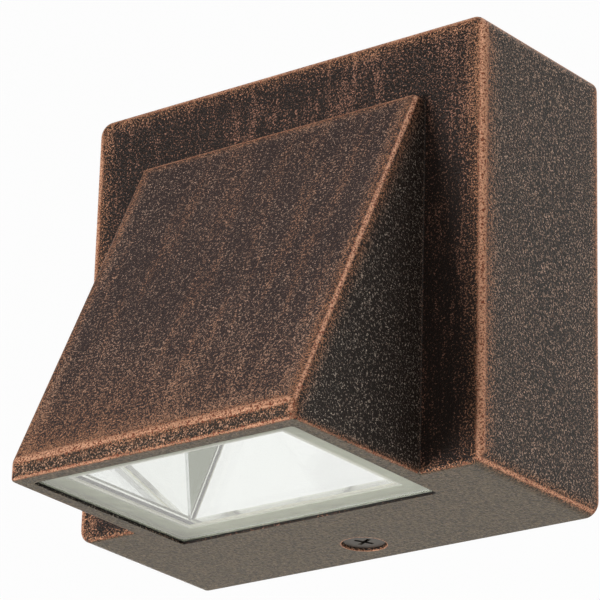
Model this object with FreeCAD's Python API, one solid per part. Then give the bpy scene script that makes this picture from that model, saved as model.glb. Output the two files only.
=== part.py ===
"""Wall pack light: a die-cast box on the wall with a wedge hood and a window in its underside.

Millimetres. X runs to the right as seen from the front, Y runs into the wall, Z is up.
The origin is the centre of the wall face: the wall is the plane Y = 0 and the light is at Y < 0.
"""
import FreeCAD, Part
import math
import os

# ---- casting: box
box_width = 100.0
box_height = 94.0
box_depth = 40.0
casting_wall = 3.0
box_draft = 0.65            # how much narrower each side and the top are at the front
box_corner_radius = 3.0
box_front_radius = 0.9
least_corner_radius = 0.5   # of an inner corner that follows an outer one

# ---- casting: hood
hood_width = 70.4           # where it meets the box
hood_draft = 0.7            # how much narrower each side is at the lip
hood_height = 78.6          # from the underside to its top
hood_reach = 38.7           # from the box's front to the lip
hood_top_step = 2.5
lip_height = 4.0
hood_ridge_radius = 1.6
hood_crease_radius = 2.5
hood_top_radius = 1.0
hood_lip_radius = 0.6

# ---- window, bedded in silicone from below
window_side_margin = 3.8    # from the hood's side, where it meets the box
window_depth = 46.7
lip_thickness = 3.6         # from the lip's face to the window opening
window_corner_radius = 1.0
glass_recess = 0.5
glass_thickness = 3.0
glass_gap = 0.4
glass_gasket_thickness = 0.8
ledge_thickness = 1.7
ledge_side = 5.05
ledge_front = 3.8
ledge_back = 4.65
window_rim = 2.9            # casting behind the window opening

# ---- reflector
reflector_sheet = 0.8
reflector_gap = 0.2
reflector_over_glass = 0.15
reflector_skirt = 1.35
reflector_height = 22.0
reflector_side_tilt = math.radians(20.9)
reflector_back_tilt = math.radians(32.6)
reflector_flange_side = 3.5
reflector_flange_front = 2.2
reflector_flange_back = 2.0

# ---- light engine
led_screw_gap = 0.7         # between a screw's head and the reflector
led_board_side_margin = 2.7     # beyond its screws' axes
led_board_front_margin = 1.25   # in front of the reflector's throat
led_board_back_margin = 6.1     # behind the reflector's throat
led_board_thickness = 1.6
emitter_size = 3.5
emitter_height = 0.7
emitter_pitch = 9.0
emitter_count = 3
thermal_pad_thickness = 0.5
thermal_pad_back_margin = 3.0   # of the LED board, left free for its wires
heat_sink_side_gap = 2.2    # from the hood's inner side, where it meets the box
heat_sink_thickness = 2.0
heat_sink_front_gap = 0.4
heat_sink_back_margin = 2.5     # behind the posts' axes
post_radius = 3.2
post_edge_margin = 4.0      # from the heat sink's side to a post's axis
post_back_margin = 0.3      # between a post and the back of the casting that it stands on

# ---- lamp chamber and its cover
chamber_shoulder = 2.2      # step in the casting that the cover's gasket lies on
cover_from_wall = 16.0
cover_thickness = 2.0
cover_edge_gap = 0.3
cover_gasket_thickness = 0.8
cover_boss_radius = 4.2
cover_corner_radius = 1.0
cover_screw_inset = 5.5     # from the inner side walls
wall_gasket_width = 1.4
wall_gasket_depth = 1.5

# ---- mounting plate
plate_thickness = 1.5
plate_corner_radius = 3.0
plate_gap = 0.3
flange_width = 30.0
flange_cover_gap = 1.5
cable_hole_radius = 10.0
slot_spacing = 60.0
slot_radius = 2.5
slot_length = 12.0
slot_edge = 4.0             # plate beyond each slot's end
nut_guide_height = 5.2
nut_guide_thickness = 1.2
earth_boss_radius = 3.5
earth_boss_height = 2.5
earth_point_inset = 12.0    # from the plate's side
earth_point_rise = 19.0     # from the plate's low edge
washer_thickness = 0.8
washer_radius = 4.5

# ---- lock screw
lock_from_wall = 9.2
lock_shank_radius = 2.0
lock_head_radius = 4.2
lock_head_rim = 0.25
lock_length = 12.0
lock_tip_chamfer = 0.5
lock_recess = 0.5
lock_hole_gap = 0.45
lock_seat_gap = 0.15
lock_running_gap = 0.05
lock_slot_gap = 0.3
lock_pad_radius = 6.0
lock_pad_height = 2.7
cross_reach = 2.2
cross_tip = 0.8
cross_depth = 2.0
cross_width = 0.9
cross_turn = 63.0           # degrees
nut_size = 7.0
nut_height = 2.2
nut_side_gap = 0.2
seal_ring_section = 0.75

# ---- driver
driver_side_gap = 2.8       # between an ear and the chamber's side
driver_over_heat_sink = 11.9
driver_lead_room = 10.0     # between the case and the leads that pass over it
driver_cover_gap = 3.0
driver_wall = 1.5
driver_stand = 1.5          # from the box's inner front wall
driver_ear_reach = 10.0
driver_ear_height = 10.0
driver_ear_thickness = 2.0
driver_boss_radius = 3.5
driver_boss_height = 4.0
driver_hole_over = 1.5      # how far a screw hole goes on past its boss
driver_screw_offset = 6.2   # from the case's end
driver_board_stand = 1.5
driver_board_thickness = 1.6
driver_board_gap = 0.4
driver_part_gap = 0.4       # between the tallest parts and the lid
transformer_size = 13.0
transformer_leg = 2.6
bobbin_gap = 0.4
transformer_x = 4.0
capacitor_length = 12.0
capacitor_end_margin = 5.1  # from the board's end
capacitor_spacing = 2.5
capacitor_rim_radius = 0.5
rectifier_size = 6.0
rectifier_height = 3.0
rectifier_end_margin = 7.1  # from the board's end

# ---- supply terminal
terminal_pitch = 10.0
terminal_count = 3
terminal_height = 14.0
terminal_depth = 11.0
terminal_lead_room = 10.0   # between the block and the leads that pass over it
terminal_entry_radius = 1.8
terminal_entry_depth = 5.0
terminal_well_radius = 1.9
terminal_well_depth = 3.0
terminal_screw_radius = 1.7
terminal_screw_height = 1.6
terminal_screw_slot = 0.7
terminal_screw_offset = 3.5

# ---- screws
small_shank_radius = 1.25
small_head_radius = 2.3
small_head_height = 1.3
cover_screw_length = 8.0
earth_shank_radius = 2.0
earth_head_radius = 3.6
earth_head_height = 2.2
earth_head_slot = 1.2
drive_depth_share = 0.5     # of the head's height
drive_reach_share = 0.6     # of the head's radius
drive_width_share = 1 / 3   # of the head's radius
pan_edge_share = 1 / 3      # of the head's height
thread_gap = 0.02
pass_gap = 0.3

# ---- leads
lead_radius = 0.75
lead_cover_gap = 5.0        # from the cover to where the leads leave the terminal
earth_lead_cover_gap = 3.0
lead_lid_margin = 6.0       # from the driver's lid to where the leads reach the case
cover_earth_offset = 11.0   # from the terminal block's end
led_wire_radius = 0.6
led_wire_spacing = 8.0
led_wire_rise = 3.6         # above the heat sink
led_wire_lid_margin = 7.0   # from the driver's lid
led_wire_inset = 1.5        # from the LED board's back edge
wire_gap = 0.05             # round a wire in its hole
wire_pass_gap = 0.6         # round a wire in the heat sink
grommet_lip = 1.0
grommet_wall = 1.6
grommet_top_gap = 0.45      # between the grommet and the chamber's top
bend_share = 0.45           # of the shorter run beside a bend
same_place = 1e-4           # coordinates this close are the same

# ---- levels and planes that follow from the sizes above
underside_z = -box_height / 2
top_z = box_height / 2
box_front = -box_depth
inner_half_width = box_width / 2 - casting_wall
inner_low_z = underside_z + casting_wall
inner_high_z = top_z - casting_wall
inner_front = box_front + casting_wall
hood_front = box_front - hood_reach
hood_top_z = underside_z + hood_height
slope_top_y = box_front - hood_top_step
slope_low_z = underside_z + lip_height
slope_run = (slope_top_y - hood_front) / (hood_top_z - slope_low_z)
slope_tilt = math.atan(slope_run)
window_width = hood_width - 2 * window_side_margin
window_front = hood_front + lip_thickness
window_back = window_front + window_depth
glass_low_z = underside_z + glass_recess
glass_high_z = glass_low_z + glass_thickness
ledge_low_z = glass_high_z + glass_gasket_thickness
ledge_high_z = ledge_low_z + ledge_thickness
ledge_half_width = window_width / 2 - ledge_side
ledge_opening_front = window_front + ledge_front
ledge_opening_back = window_back - ledge_back
tray_back = window_back + window_rim
skirt_low_z = glass_high_z + reflector_over_glass
facet_low_z = skirt_low_z + reflector_skirt
facet_high_z = facet_low_z + reflector_height
mouth_half_width = ledge_half_width - reflector_gap - reflector_sheet
mouth_front = ledge_opening_front + reflector_gap + reflector_sheet
mouth_back = ledge_opening_back - reflector_gap - reflector_sheet
throat_half_width = mouth_half_width - reflector_height * math.tan(reflector_side_tilt)
throat_front = mouth_front + reflector_height * slope_run
throat_back = mouth_back - reflector_height * math.tan(reflector_back_tilt)
side_sheet_width = reflector_sheet / math.cos(reflector_side_tilt)
led_low_z = facet_high_z
led_high_z = led_low_z + led_board_thickness
heat_sink_low_z = led_high_z + thermal_pad_thickness
heat_sink_high_z = heat_sink_low_z + heat_sink_thickness
emitter_y = (throat_front + throat_back) / 2
led_screw_x = throat_half_width + side_sheet_width + small_head_radius + led_screw_gap
led_board_half_width = led_screw_x + led_board_side_margin
led_board_front = throat_front - led_board_front_margin
led_board_back = throat_back + led_board_back_margin
heat_sink_half_width = hood_width / 2 - casting_wall - heat_sink_side_gap
post_x = heat_sink_half_width - post_edge_margin
post_y = tray_back - post_back_margin - post_radius
cover_back = -cover_from_wall
cover_front = cover_back - cover_thickness
shoulder_y = cover_front - cover_gasket_thickness
chamber_half_width = inner_half_width - chamber_shoulder
chamber_low_z = inner_low_z + chamber_shoulder
chamber_high_z = inner_high_z - chamber_shoulder
cover_half_width = inner_half_width - cover_edge_gap
cover_low_z = inner_low_z + cover_edge_gap
cover_high_z = inner_high_z - cover_edge_gap
lock_y = -lock_from_wall
lock_face_z = underside_z + lock_recess
lock_cone_z = lock_face_z + lock_head_rim
lock_pad_z = inner_low_z + lock_pad_height
flange_low_z = lock_pad_z + plate_gap
flange_high_z = flange_low_z + plate_thickness
flange_front = cover_back + flange_cover_gap
plate_high_z = inner_high_z - plate_gap
plate_half_width = slot_spacing / 2 + slot_length / 2 + slot_edge
earth_point_x = earth_point_inset - plate_half_width
earth_point_z = flange_low_z + earth_point_rise
nut_guide_gap = nut_size / 2 + nut_side_gap
lead_top_z = chamber_high_z - grommet_top_gap - grommet_lip - grommet_wall - lead_radius
driver_front = inner_front + driver_stand
driver_back = cover_front - driver_cover_gap
driver_low_z = heat_sink_high_z + driver_over_heat_sink
driver_high_z = lead_top_z - driver_lead_room
driver_centre_z = (driver_low_z + driver_high_z) / 2
driver_height = driver_high_z - driver_low_z
driver_half_length = chamber_half_width - driver_side_gap - driver_ear_reach
driver_ear_low = inner_front + driver_boss_height
driver_board_front = driver_front + driver_wall + driver_board_stand
driver_board_back = driver_board_front + driver_board_thickness
driver_board_half_length = driver_half_length - driver_wall - driver_board_gap
driver_part_height = driver_back - driver_wall - driver_part_gap - driver_board_back
driver_screw_x = driver_half_length + driver_screw_offset
capacitor_radius = driver_part_height / 2
terminal_half_width = terminal_pitch * terminal_count / 2
terminal_high_z = lead_top_z - terminal_lead_room
terminal_low_z = terminal_high_z - terminal_height
terminal_back = cover_back + terminal_depth
lead_y = cover_back + lead_cover_gap
earth_lead_y = cover_back + earth_lead_cover_gap
lead_driver_y = driver_back - lead_lid_margin
cover_earth_x = terminal_half_width + cover_earth_offset
led_wire_driver_y = driver_back - led_wire_lid_margin
led_wire_level_z = heat_sink_high_z + led_wire_rise
led_wire_board_y = led_board_back - led_wire_inset
lead_x = [(i - (terminal_count - 1) / 2) * terminal_pitch for i in range(terminal_count)]
cover_screw_places = [
    (sx * (inner_half_width - cover_screw_inset), z)
    for sx in (-1, 1)
    for z in (inner_low_z + cover_screw_inset, inner_high_z - cover_screw_inset)
]

X_AXIS = FreeCAD.Vector(1, 0, 0)
Y_AXIS = FreeCAD.Vector(0, 1, 0)
Z_AXIS = FreeCAD.Vector(0, 0, 1)


# ---- helpers
def block(x0, x1, y0, y1, z0, z1):
    """A box between two corners."""
    return Part.makeBox(x1 - x0, y1 - y0, z1 - z0, FreeCAD.Vector(x0, y0, z0))


def rod(x, y, z, radius, length, axis):
    """A cylinder from a point along an axis, or back along it for a negative length."""
    along = axis if length > 0 else axis * -1
    return Part.makeCylinder(radius, abs(length), FreeCAD.Vector(x, y, z), along)


def rounded_outline(a0, a1, b0, b1, radius, place):
    """A closed rectangle with round corners; place turns (a, b) into a point."""
    half = radius * math.sqrt(0.5)
    edges = []
    corners = [(a1, b0, 1, -1), (a1, b1, 1, 1), (a0, b1, -1, 1), (a0, b0, -1, -1)]
    arcs = []
    for a, b, sa, sb in corners:
        ca = a - sa * radius
        cb = b - sb * radius
        on_b = place(ca, b)
        middle = place(ca + sa * half, cb + sb * half)
        on_a = place(a, cb)
        arcs.append((on_b, middle, on_a) if sa * sb < 0 else (on_a, middle, on_b))
    for i, arc in enumerate(arcs):
        edges.append(Part.Arc(*arc).toShape())
        edges.append(Part.LineSegment(arc[2], arcs[(i + 1) % 4][0]).toShape())
    return Part.Wire(edges)


def panel(x0, x1, z0, z1, radius, y0, y1):
    """A plate that faces the wall, with round corners, from y0 to y1."""
    outline = rounded_outline(x0, x1, z0, z1, radius, lambda a, b: FreeCAD.Vector(a, y0, b))
    return Part.Face(outline).extrude(FreeCAD.Vector(0, y1 - y0, 0))


def tray(x0, x1, y0, y1, radius, z0, z1):
    """A level plate with round corners, from z0 to z1."""
    outline = rounded_outline(x0, x1, y0, y1, radius, lambda a, b: FreeCAD.Vector(a, b, z0))
    return Part.Face(outline).extrude(FreeCAD.Vector(0, 0, z1 - z0))


def long_hole(x0, x1, z, radius, y0, y1):
    """The body of a level hole with round ends whose centres are x0 and x1 apart."""
    hole = block(x0, x1, y0, y1, z - radius, z + radius)
    for x in (x0, x1):
        hole = hole.fuse(rod(x, y0, z, radius, y1 - y0, Y_AXIS))
    return hole.removeSplitter()


def side_profile(points, half_width):
    """A prism across X from a polygon of (y, z) points."""
    corners = [FreeCAD.Vector(-half_width, y, z) for y, z in points]
    face = Part.Face(Part.makePolygon(corners + corners[:1]))
    return face.extrude(FreeCAD.Vector(2 * half_width, 0, 0))


def frustum(low, low_z, high, high_z):
    """A solid between two level rectangles (half width, front y, back y)."""
    def ring(rect, z):
        half, front, back = rect
        return [FreeCAD.Vector(x, y, z)
                for x, y in ((-half, front), (half, front), (half, back), (-half, back))]
    lower = ring(low, low_z)
    upper = ring(high, high_z)
    faces = [lower[::-1], upper]
    for i in range(4):
        j = (i + 1) % 4
        faces.append([lower[i], lower[j], upper[j], upper[i]])
    shell = Part.Shell([Part.Face(Part.makePolygon(f + f[:1])) for f in faces])
    return Part.Solid(shell)


def pan_screw(x, y, z, axis, shank_radius, length, head_radius, head_height):
    """A pan head screw: its head stands on a point and its shank runs along the axis."""
    head = Part.makeCylinder(head_radius, head_height, FreeCAD.Vector(x, y, z), axis * -1)
    far_rim = [e for e in head.Edges if e.Closed and e.CenterOfMass.distanceToPoint(
        FreeCAD.Vector(x, y, z)) > head_height / 2]
    head = head.makeFillet(head_height * pan_edge_share, far_rim)
    shank = rod(x, y, z, shank_radius, length, axis)
    slot_depth = head_height * drive_depth_share
    slot_half = head_radius * drive_width_share / 2
    base = FreeCAD.Vector(x, y, z) - axis * head_height
    slot = Part.makeCylinder(head_radius * drive_reach_share, slot_depth, base, axis)
    bars = None
    for across in (X_AXIS, Z_AXIS if abs(axis.z) < 0.5 else Y_AXIS):
        other = axis.cross(across)
        corner = base - across * head_radius - other * slot_half
        sweep = [corner, corner + across * (2 * head_radius),
                 corner + across * (2 * head_radius) + other * (2 * slot_half),
                 corner + other * (2 * slot_half)]
        bar = Part.Face(Part.makePolygon(sweep + sweep[:1])).extrude(axis * slot_depth)
        bars = bar if bars is None else bars.fuse(bar)
    return head.fuse(shank).cut(bars.common(slot)).removeSplitter()


def bent_wire(points, radius, name):
    """A round wire through a list of points, with a tangent arc at each turn."""
    route = [FreeCAD.Vector(*p) for p in points]
    edges = []
    start = route[0]
    radii = []
    for before, corner, after in zip(route, route[1:], route[2:]):
        into = (corner - before).normalize()
        out = (after - corner).normalize()
        turn = into.getAngle(out)
        run = min(corner.distanceToPoint(before), corner.distanceToPoint(after))
        bend = bend_share * run / math.tan(turn / 2)
        setback = bend * math.tan(turn / 2)
        first = corner - into * setback
        last = corner + out * setback
        inward = (out - into).normalize()
        centre = corner + inward * (bend / math.cos(turn / 2))
        middle = centre - inward * bend
        edges.append(Part.LineSegment(start, first).toShape())
        edges.append(Part.Arc(first, middle, last).toShape())
        start = last
        radii.append(round(bend, 2))
    edges.append(Part.LineSegment(start, route[-1]).toShape())
    path = Part.Wire(edges)
    along = (route[1] - route[0]).normalize()
    profile = Part.Wire(Part.makeCircle(radius, route[0], along))
    tube = path.makePipeShell([profile], True, False)
    expected = math.pi * radius ** 2 * path.Length
    print(name, "bend radii", radii, "length", round(path.Length, 2),
          "volume share", round(tube.Volume / expected, 4))
    return tube


# ---- casting
def box_body():
    """The drafted box, with round edges along its depth and a small round at its front."""
    half = box_width / 2

    def outline(y, inset):
        return rounded_outline(-half + inset, half - inset, underside_z, top_z - inset,
                               box_corner_radius, lambda a, b: FreeCAD.Vector(a, y, b))
    body = Part.makeLoft([outline(0, 0), outline(box_front, box_draft)], True, True)
    front_edges = [e for e in body.Edges
                   if all(abs(v.Point.y - box_front) < same_place for v in e.Vertexes)]
    return body.makeFillet(box_front_radius, front_edges)


def hood_plan(half_width, back_y, low_z, high_z):
    """The hood's tapering plan as a prism; half_width holds where the hood meets the box."""
    slope = hood_draft / hood_reach
    wide = half_width - slope * (box_front - back_y)
    narrow = half_width - hood_draft
    plan = [(-wide, back_y), (wide, back_y), (narrow, hood_front), (-narrow, hood_front)]
    corners = [FreeCAD.Vector(x, y, low_z) for x, y in plan]
    face = Part.Face(Part.makePolygon(corners + corners[:1]))
    return face.extrude(FreeCAD.Vector(0, 0, high_z - low_z))


def hood_body():
    """The wedge hood: flat top step, sloping face, upright lip, sides drafted towards the lip."""
    outline = [(inner_front, underside_z), (hood_front, underside_z), (hood_front, slope_low_z),
               (slope_top_y, hood_top_z), (inner_front, hood_top_z)]
    wedge = side_profile(outline, hood_width / 2)
    wedge = wedge.common(hood_plan(hood_width / 2, inner_front, underside_z, hood_top_z))
    ridges = []
    for edge in wedge.Edges:
        ends = [v.Point for v in edge.Vertexes]
        level = abs(ends[0].z - ends[1].z) < same_place
        across = level and abs(ends[0].y - ends[1].y) < same_place
        low = level and abs(ends[0].z - underside_z) < same_place
        behind = min(p.y for p in ends) > box_front - hood_top_step / 2
        if not (low or across or behind):
            ridges.append(edge)
    wedge = wedge.makeFillet(hood_ridge_radius, ridges)
    wedge = wedge.makeFillet(hood_crease_radius, level_edges(wedge, slope_low_z))
    wedge = wedge.makeFillet(hood_top_radius, level_edges(wedge, hood_top_z))
    wedge = wedge.makeFillet(hood_lip_radius, level_edges(wedge, underside_z))
    return wedge


def level_edges(solid, z):
    """Edges of the hood at one height that reach well in front of the box."""
    return [e for e in solid.Edges
            if all(abs(v.Point.z - z) < same_place for v in e.Vertexes)
            and min(v.Point.y for v in e.Vertexes) < box_front - hood_top_step / 2]


def inner_slope_y(z):
    """Where the hood's inner sloping face lies at a height."""
    outer = hood_front + (z - slope_low_z) * slope_run
    return outer + casting_wall / math.cos(slope_tilt)


def hood_cavity():
    """The space inside the hood, down to the glass ledge."""
    high = hood_top_z - casting_wall
    back = inner_front + chamber_shoulder
    outline = [(inner_slope_y(ledge_high_z), ledge_high_z), (inner_slope_y(high), high),
               (back, high), (back, ledge_high_z)]
    space = side_profile(outline, hood_width / 2)
    return space.common(hood_plan(hood_width / 2 - casting_wall, back, ledge_high_z, high))


def cover_bosses(y0, y1):
    """The four corner bosses that take the cover's screws."""
    return [rod(x, y0, z, cover_boss_radius, y1 - y0, Y_AXIS) for x, z in cover_screw_places]


def housing():
    """Box and hood in one casting, hollow and open towards the wall."""
    inner_radius = max(box_corner_radius - casting_wall, least_corner_radius)
    pocket = panel(-inner_half_width, inner_half_width, inner_low_z, inner_high_z,
                   inner_radius, shoulder_y, 0)
    chamber = panel(-chamber_half_width, chamber_half_width, chamber_low_z, chamber_high_z,
                    inner_radius, inner_front, shoulder_y)
    half = window_width / 2 + window_rim
    kept = [block(-half, half, hood_front, tray_back, underside_z, ledge_high_z)]
    kept += cover_bosses(inner_front, shoulder_y)
    for side in (-1, 1):
        kept.append(rod(side * post_x, post_y, ledge_high_z, post_radius,
                        heat_sink_low_z - ledge_high_z, Z_AXIS))
        kept.append(rod(side * driver_screw_x, inner_front, driver_centre_z, driver_boss_radius,
                        driver_boss_height, Y_AXIS))
    chamber = chamber.fuse(hood_cavity())
    for solid in kept:
        chamber = chamber.cut(solid)
    pocket = pocket.cut(rod(0, lock_y, inner_low_z, lock_pad_radius, lock_pad_height, Z_AXIS))
    body = box_body().fuse(hood_body()).cut(chamber).cut(pocket)
    body = body.cut(tray(-window_width / 2, window_width / 2, window_front, window_back,
                         window_corner_radius, underside_z, ledge_low_z))
    body = body.cut(block(-ledge_half_width, ledge_half_width, ledge_opening_front,
                          ledge_opening_back, ledge_low_z, ledge_high_z))
    body = body.cut(lock_hole())
    body = body.cut(rim_ring(wall_gasket_depth))
    hole = small_shank_radius + thread_gap
    for x, z in cover_screw_places:
        body = body.cut(rod(x, shoulder_y, z, hole, -cover_screw_length, Y_AXIS))
    for side in (-1, 1):
        body = body.cut(rod(side * post_x, post_y, heat_sink_low_z, hole,
                            -cover_screw_length, Z_AXIS))
        body = body.cut(rod(side * driver_screw_x, driver_ear_low, driver_centre_z, hole,
                            -(driver_boss_height + driver_hole_over), Y_AXIS))
    return body.removeSplitter()


def lock_hole():
    """Mouth, countersink and through hole of the lock screw, with the seal ring's groove."""
    mouth_top = lock_cone_z + lock_seat_gap
    mouth = rod(0, lock_y, underside_z, lock_head_radius + lock_hole_gap,
                mouth_top - underside_z, Z_AXIS)
    hole_radius = lock_shank_radius + pass_gap
    cone_wide = lock_head_radius
    cone = Part.makeCone(cone_wide, hole_radius, cone_wide - hole_radius,
                         FreeCAD.Vector(0, lock_y, mouth_top), Z_AXIS)
    through = rod(0, lock_y, underside_z, hole_radius, lock_pad_z - underside_z, Z_AXIS)
    groove_radius = lock_shank_radius + 2 * (seal_ring_section + lock_running_gap)
    groove = rod(0, lock_y, lock_pad_z, groove_radius, -2 * seal_ring_section, Z_AXIS)
    return mouth.fuse([cone, through, groove])


def rim_ring(depth):
    """The ring that the wall gasket fills in the housing's rim."""
    inset = (casting_wall - wall_gasket_width) / 2
    half = box_width / 2 - inset
    outer = panel(-half, half, underside_z + inset, top_z - inset,
                  box_corner_radius - inset, -depth, 0)
    inner_inset = inset + wall_gasket_width
    half = box_width / 2 - inner_inset
    inner = panel(-half, half, underside_z + inner_inset, top_z - inner_inset,
                  max(box_corner_radius - inner_inset, least_corner_radius), -depth, 0)
    return outer.cut(inner)


# ---- window and reflector
def window_glass():
    """The clear pane, bedded from below with an even gap round it."""
    half = window_width / 2 - glass_gap
    pane = tray(-half, half, window_front + glass_gap, window_back - glass_gap,
                max(window_corner_radius - glass_gap, least_corner_radius),
                glass_low_z, glass_high_z)
    return pane


def glass_gasket():
    """The silicone ring between the pane and the ledge."""
    half = window_width / 2 - glass_gap
    ring = tray(-half, half, window_front + glass_gap, window_back - glass_gap,
                max(window_corner_radius - glass_gap, least_corner_radius),
                glass_high_z, ledge_low_z)
    return ring.cut(block(-ledge_half_width, ledge_half_width, ledge_opening_front,
                          ledge_opening_back, glass_high_z, ledge_low_z))


def reflector():
    """Four flat mirror facets on a short upright skirt, with a flange on the ledge."""
    grow_back = reflector_sheet / math.cos(reflector_back_tilt)
    grow_front = reflector_sheet / math.cos(slope_tilt)
    mouth = (mouth_half_width, mouth_front, mouth_back)
    throat = (throat_half_width, throat_front, throat_back)
    mouth_out = (mouth[0] + side_sheet_width, mouth[1] - grow_front, mouth[2] + grow_back)
    throat_out = (throat[0] + side_sheet_width, throat[1] - grow_front, throat[2] + grow_back)
    sheet = reflector_sheet
    skirt = block(-mouth[0] - sheet, mouth[0] + sheet, mouth[1] - sheet, mouth[2] + sheet,
                  skirt_low_z, ledge_high_z + sheet)
    flange = block(-ledge_half_width - reflector_flange_side,
                   ledge_half_width + reflector_flange_side,
                   ledge_opening_front - reflector_flange_front,
                   ledge_opening_back + reflector_flange_back,
                   ledge_high_z, ledge_high_z + sheet)
    for side in (-1, 1):
        flange = flange.cut(rod(side * post_x, post_y, ledge_high_z,
                                post_radius + pass_gap, sheet, Z_AXIS))
    facets = frustum(mouth_out, facet_low_z, throat_out, facet_high_z)
    facets = facets.common(block(-box_width, box_width, hood_front, 0, ledge_high_z, facet_high_z))
    body = skirt.fuse([flange, facets])
    body = body.cut(frustum(mouth, facet_low_z, throat, facet_high_z))
    body = body.cut(block(-mouth[0], mouth[0], mouth[1], mouth[2], skirt_low_z, facet_low_z))
    return body.removeSplitter()


# ---- light engine
def led_board():
    """Metal-core board that closes the reflector's throat."""
    board = block(-led_board_half_width, led_board_half_width, led_board_front, led_board_back,
                  led_low_z, led_high_z)
    for side in (-1, 1):
        board = board.cut(rod(side * led_screw_x, emitter_y, led_low_z,
                              small_shank_radius + thread_gap, led_board_thickness, Z_AXIS))
        board = board.cut(rod(side * led_wire_spacing / 2, led_wire_board_y, led_low_z,
                              led_wire_radius + wire_gap, led_board_thickness, Z_AXIS))
    return board


def led_emitters():
    """A row of square emitters that look down through the throat."""
    half = emitter_size / 2
    row = []
    for i in range(emitter_count):
        x = (i - (emitter_count - 1) / 2) * emitter_pitch
        row.append(block(x - half, x + half, emitter_y - half, emitter_y + half,
                         led_low_z - emitter_height, led_low_z))
    return Part.makeCompound(row)


def thermal_pad():
    """Soft pad between the LED board and the heat sink plate."""
    pad = block(-led_board_half_width, led_board_half_width, led_board_front,
                led_board_back - thermal_pad_back_margin, led_high_z, heat_sink_low_z)
    for side in (-1, 1):
        pad = pad.cut(rod(side * led_screw_x, emitter_y, led_high_z,
                          small_shank_radius + pass_gap, thermal_pad_thickness, Z_AXIS))
    return pad


def heat_sink_plate():
    """Aluminium plate on two posts; it carries the LED board and holds the reflector down."""
    front = inner_slope_y(heat_sink_high_z) + heat_sink_front_gap
    plate = block(-heat_sink_half_width, heat_sink_half_width, front,
                  post_y + heat_sink_back_margin, heat_sink_low_z, heat_sink_high_z)
    for side in (-1, 1):
        plate = plate.cut(rod(side * post_x, post_y, heat_sink_low_z,
                              small_shank_radius + thread_gap, heat_sink_thickness, Z_AXIS))
        plate = plate.cut(rod(side * led_screw_x, emitter_y, heat_sink_low_z,
                              small_shank_radius + thread_gap, heat_sink_thickness, Z_AXIS))
        plate = plate.cut(rod(side * led_wire_spacing / 2, led_wire_board_y, heat_sink_low_z,
                              led_wire_radius + wire_pass_gap, heat_sink_thickness, Z_AXIS))
    return plate


def heat_sink_screws():
    """Two screws from above into the posts."""
    return Part.makeCompound([
        pan_screw(side * post_x, post_y, heat_sink_high_z, Z_AXIS * -1,
                  small_shank_radius, cover_screw_length, small_head_radius, small_head_height)
        for side in (-1, 1)])


def led_board_screws():
    """Two screws from below through the LED board into the heat sink plate."""
    reach = heat_sink_high_z - led_low_z
    return Part.makeCompound([
        pan_screw(side * led_screw_x, emitter_y, led_low_z, Z_AXIS,
                  small_shank_radius, reach, small_head_radius, small_head_height)
        for side in (-1, 1)])


# ---- cover
def grommet_slot(grow, y0, y1):
    """The long hole round the two leads that pass the cover, grown by a margin."""
    return long_hole(lead_x[0], lead_x[1], lead_top_z, lead_radius + grommet_wall + grow, y0, y1)


def back_cover():
    """Sheet that closes the lamp chamber; the supply terminal sits on it."""
    plate = panel(-cover_half_width, cover_half_width, cover_low_z, cover_high_z,
                  cover_corner_radius, cover_front, cover_back)
    for x, z in cover_screw_places:
        plate = plate.cut(rod(x, cover_front, z, small_shank_radius + pass_gap,
                              cover_thickness, Y_AXIS))
    plate = plate.cut(grommet_slot(0, cover_front, cover_back))
    plate = plate.cut(rod(cover_earth_x, cover_front, lead_top_z,
                          earth_shank_radius + thread_gap, cover_thickness, Y_AXIS))
    for x in terminal_fixing_x():
        plate = plate.cut(rod(x, cover_front, terminal_mid_z(), small_shank_radius + thread_gap,
                              cover_thickness, Y_AXIS))
    return plate


def back_cover_gasket():
    """Rubber ring on the casting's shoulder, with a pad round each screw."""
    ring = panel(-cover_half_width, cover_half_width, cover_low_z, cover_high_z,
                 cover_corner_radius, shoulder_y, cover_front)
    opening = block(-chamber_half_width, chamber_half_width, shoulder_y, cover_front,
                    chamber_low_z, chamber_high_z)
    for boss in cover_bosses(shoulder_y, cover_front):
        opening = opening.cut(boss)
    ring = ring.cut(opening)
    for x, z in cover_screw_places:
        ring = ring.cut(rod(x, shoulder_y, z, small_shank_radius + pass_gap,
                            cover_gasket_thickness, Y_AXIS))
    return ring


def back_cover_screws():
    """Four screws from the wall side into the corner bosses."""
    return Part.makeCompound([
        pan_screw(x, cover_back, z, Y_AXIS * -1, small_shank_radius, cover_screw_length,
                  small_head_radius, small_head_height)
        for x, z in cover_screw_places])


def wall_gasket():
    """Rubber ring that seals the housing's rim to the wall."""
    return rim_ring(wall_gasket_depth)


def wire_grommet():
    """Rubber grommet in the cover, with a lip on each side and a hole for each lead."""
    body = grommet_slot(0, cover_front, cover_back)
    body = body.fuse(grommet_slot(grommet_lip, cover_front - grommet_lip, cover_front))
    body = body.fuse(grommet_slot(grommet_lip, cover_back, cover_back + grommet_lip))
    for x in lead_x[:2]:
        body = body.cut(rod(x, cover_front - grommet_lip, lead_top_z, lead_radius + wire_gap,
                            cover_thickness + 2 * grommet_lip, Y_AXIS))
    return body.removeSplitter()


# ---- supply terminal
def terminal_mid_z():
    """The height of the terminal block's middle."""
    return (terminal_low_z + terminal_high_z) / 2


def terminal_fixing_x():
    """Fixing screws stand between the poles."""
    return [(a + b) / 2 for a, b in zip(lead_x, lead_x[1:])]


def terminal_screw_places():
    """Two clamping screws on each pole."""
    return [(x, terminal_mid_z() + s * terminal_screw_offset) for x in lead_x for s in (-1, 1)]


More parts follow.
